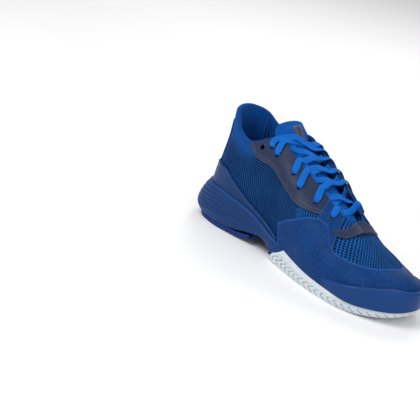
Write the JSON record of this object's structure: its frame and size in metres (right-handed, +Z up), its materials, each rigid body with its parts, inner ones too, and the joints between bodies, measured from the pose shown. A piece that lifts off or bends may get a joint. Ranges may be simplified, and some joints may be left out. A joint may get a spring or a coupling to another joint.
{
  "type": "court shoe",
  "caption": "Low-cut laced shoe for indoor racket sports, with a padded collar, mesh upper, toe and heel guards, loose insole and a wavy-tread sole; left shoe.",
  "frame": {"origin": "under the middle of the shoe, on the ground: centre of the bounding box's bottom face", "axes": "+X towards the toe, +Y towards the outer (lateral) side of the foot, +Z up"},
  "size_m": [0.2878, 0.1102, 0.128],
  "materials": {
    "white_rubber": "matt gum rubber with a raised wavy tread",
    "blue_rubber": "matt rubber with a raised wavy tread",
    "midsole_foam": "moulded foam with a smooth skin and fine ridges at the heel",
    "shank_plate": "smooth satin moulded plate",
    "black_gloss": "polished black",
    "board": "stitched non-woven board",
    "cage_plastic": "smooth satin moulded plastic",
    "overlay": "finely grained overlay",
    "mesh_textile": "open knitted mesh",
    "lining_textile": "soft knitted lining",
    "eyestay_film": "thin welded film with a slight sheen",
    "padding_foam": "open-cell padding foam",
    "tongue_textile": "padded knitted textile",
    "lace_textile": "flat woven lace",
    "stiffener": "heat-formed stiffener sheet"
  },
  "bodies": {
    "shoe": {"outsole_forefoot": "white_rubber", "outsole_heel": "blue_rubber", "outsole_grooves": "blue_rubber", "midfoot_shank": "shank_plate", "shank_window": "black_gloss", "midsole": "midsole_foam", "strobel_board": "board", "vamp": "mesh_textile", "vamp_lining": "lining_textile", "collar_lining": "lining_textile", "heel_counter": "stiffener", "toe_puff": "stiffener", "collar_foam": "padding_foam", "heel_cage": "cage_plastic", "heel_tab": "overlay", "mudguard": "overlay", "toe_bumper": "cage_plastic", "throat_bar": "eyestay_film", "quarter_medial": "mesh_textile", "quarter_lateral": "mesh_textile", "facing_medial": "lining_textile", "facing_lateral": "lining_textile", "eyestay_medial": "eyestay_film", "eyestay_lateral": "eyestay_film", "tongue_base": "tongue_textile", "lace": "lace_textile"},
    "tongue_end": {"tongue_top": "tongue_textile", "tongue_stripe": "eyestay_film"},
    "insole": {"insole_foam": "padding_foam", "insole_cover": "lining_textile"}
  },
  "joints": [
    {"name": "tongue_fold", "type": "hinge", "parent": "shoe", "child": "tongue_end", "pos_m": [-0.04344, 0.00273, 0.10746], "axis": [0, -1, 0], "range_deg": [0, 25]},
    {"name": "insole_lift", "type": "hinge", "parent": "shoe", "child": "insole", "pos_m": [0.13268, 0, 0.02066], "axis": [0, 1, 0], "range_deg": [0, 4]}
  ]
}
